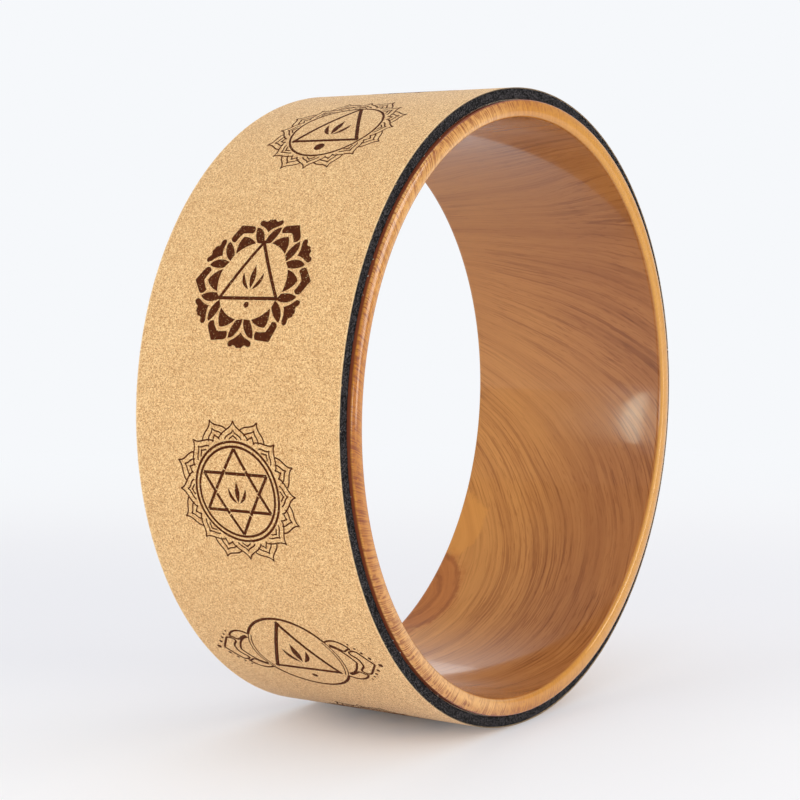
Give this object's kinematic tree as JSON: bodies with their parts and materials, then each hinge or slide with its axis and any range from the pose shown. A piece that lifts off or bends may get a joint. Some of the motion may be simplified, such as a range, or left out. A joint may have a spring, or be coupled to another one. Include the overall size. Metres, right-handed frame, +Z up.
{
  "type": "yoga wheel",
  "caption": "Upright exercise wheel for back bends: a gloss wood-print plastic ring with rounded rims, wrapped in black foam and a thin cork skin, open right through the middle.",
  "frame": {"origin": "middle of the wheel, on its axis, halfway between the two rim faces", "axes": "+Y along the wheel's axis, -Y towards the rim that faces the viewer, +Z up with the wheel standing on its tread"},
  "size_m": [0.33, 0.127, 0.33],
  "materials": {
    "wood_print": "wood-grain transfer print under clear gloss lacquer",
    "foam": "matt black closed-cell foam with a fine cut edge",
    "cork": "fine-grain pressed cork, sanded, with dark brown printed ornaments",
    "glue": "thin double-sided glue sheet"
  },
  "bodies": {
    "root": {"core_ring": "wood_print", "pad_adhesive": "glue", "foam_pad": "foam", "skin_adhesive": "glue", "cork_skin": "cork"}
  },
  "joints": []
}
